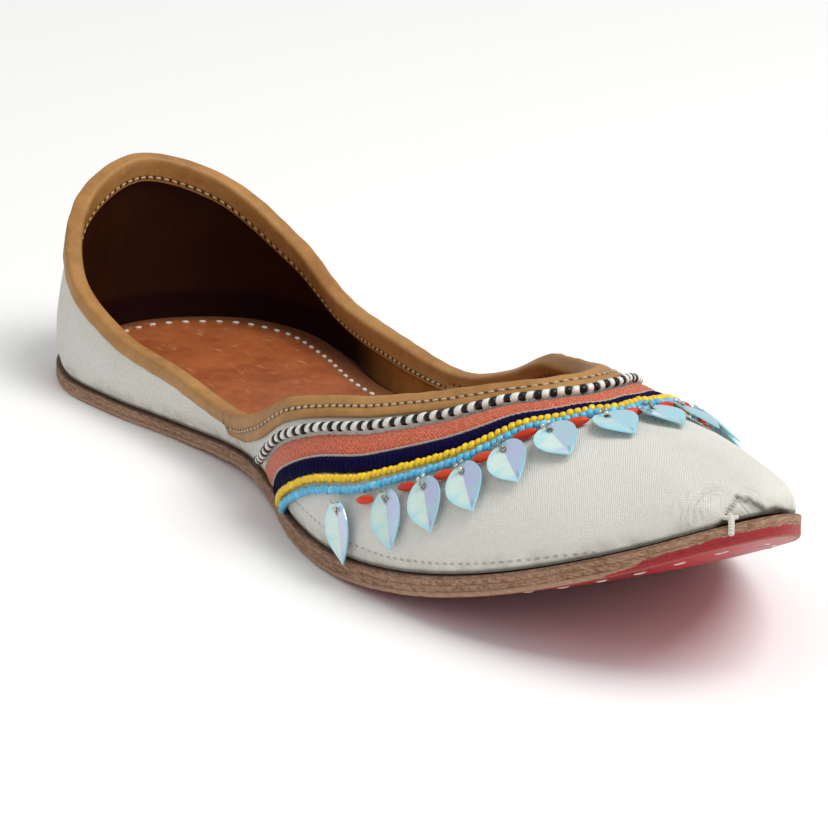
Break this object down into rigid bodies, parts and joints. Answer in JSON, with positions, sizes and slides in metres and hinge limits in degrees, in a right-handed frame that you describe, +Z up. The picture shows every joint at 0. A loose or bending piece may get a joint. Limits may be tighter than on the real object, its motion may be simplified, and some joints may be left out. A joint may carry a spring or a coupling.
{
  "type": "mojari shoe",
  "caption": "Flat slip-on mojari shoe with an upturned toe, a low bound collar, a leather sole and a vamp trimmed with bead rows, bands and hanging leaf sequins.",
  "frame": {"origin": "bottom centre of the shoe's box, on the plane it stands on", "axes": "-Y towards the toe, +Y towards the heel, +Z up, X across the shoe"},
  "size_m": [0.0802, 0.257, 0.0436],
  "materials": {
    "sole_leather": "cut edge, matt, with a glossy red underside",
    "midsole_leather": "stacked cut edge, matt",
    "insole_leather": "smooth brown sock leather, worn",
    "upper_fabric": "cream woven fabric, leather lined",
    "binding_leather": "tan glove leather, stitched",
    "bead_cord": "black and white glass beads",
    "coral_thread": "coral thread braid",
    "navy_thread": "navy thread braid",
    "yellow_beads": "yellow seed beads",
    "blue_beads": "light blue seed beads",
    "orange_beads": "orange oval beads",
    "sequins": "iridescent leaf sequins"
  },
  "bodies": {
    "root": {"bead_cord": "bead_cord", "blue_beads": "blue_beads", "collar_binding": "binding_leather", "coral_band": "coral_thread", "insole": "insole_leather", "midsole": "midsole_leather", "navy_band": "navy_thread", "outsole": "sole_leather", "oval_bead_01": "orange_beads", "oval_bead_02": "orange_beads", "oval_bead_03": "orange_beads", "oval_bead_04": "orange_beads", "oval_bead_05": "orange_beads", "oval_bead_06": "orange_beads", "oval_bead_07": "orange_beads", "oval_bead_08": "orange_beads", "oval_bead_09": "orange_beads", "oval_bead_10": "orange_beads", "oval_bead_11": "orange_beads", "oval_bead_12": "orange_beads", "oval_bead_13": "orange_beads", "sequin_01": "sequins", "sequin_02": "sequins", "sequin_03": "sequins", "sequin_04": "sequins", "sequin_05": "sequins", "sequin_06": "sequins", "sequin_07": "sequins", "sequin_08": "sequins", "sequin_09": "sequins", "sequin_10": "sequins", "sequin_11": "sequins", "sequin_12": "sequins", "sequin_13": "sequins", "sequin_14": "sequins", "throat_binding": "binding_leather", "upper": "upper_fabric", "yellow_beads": "yellow_beads"}
  },
  "joints": []
}
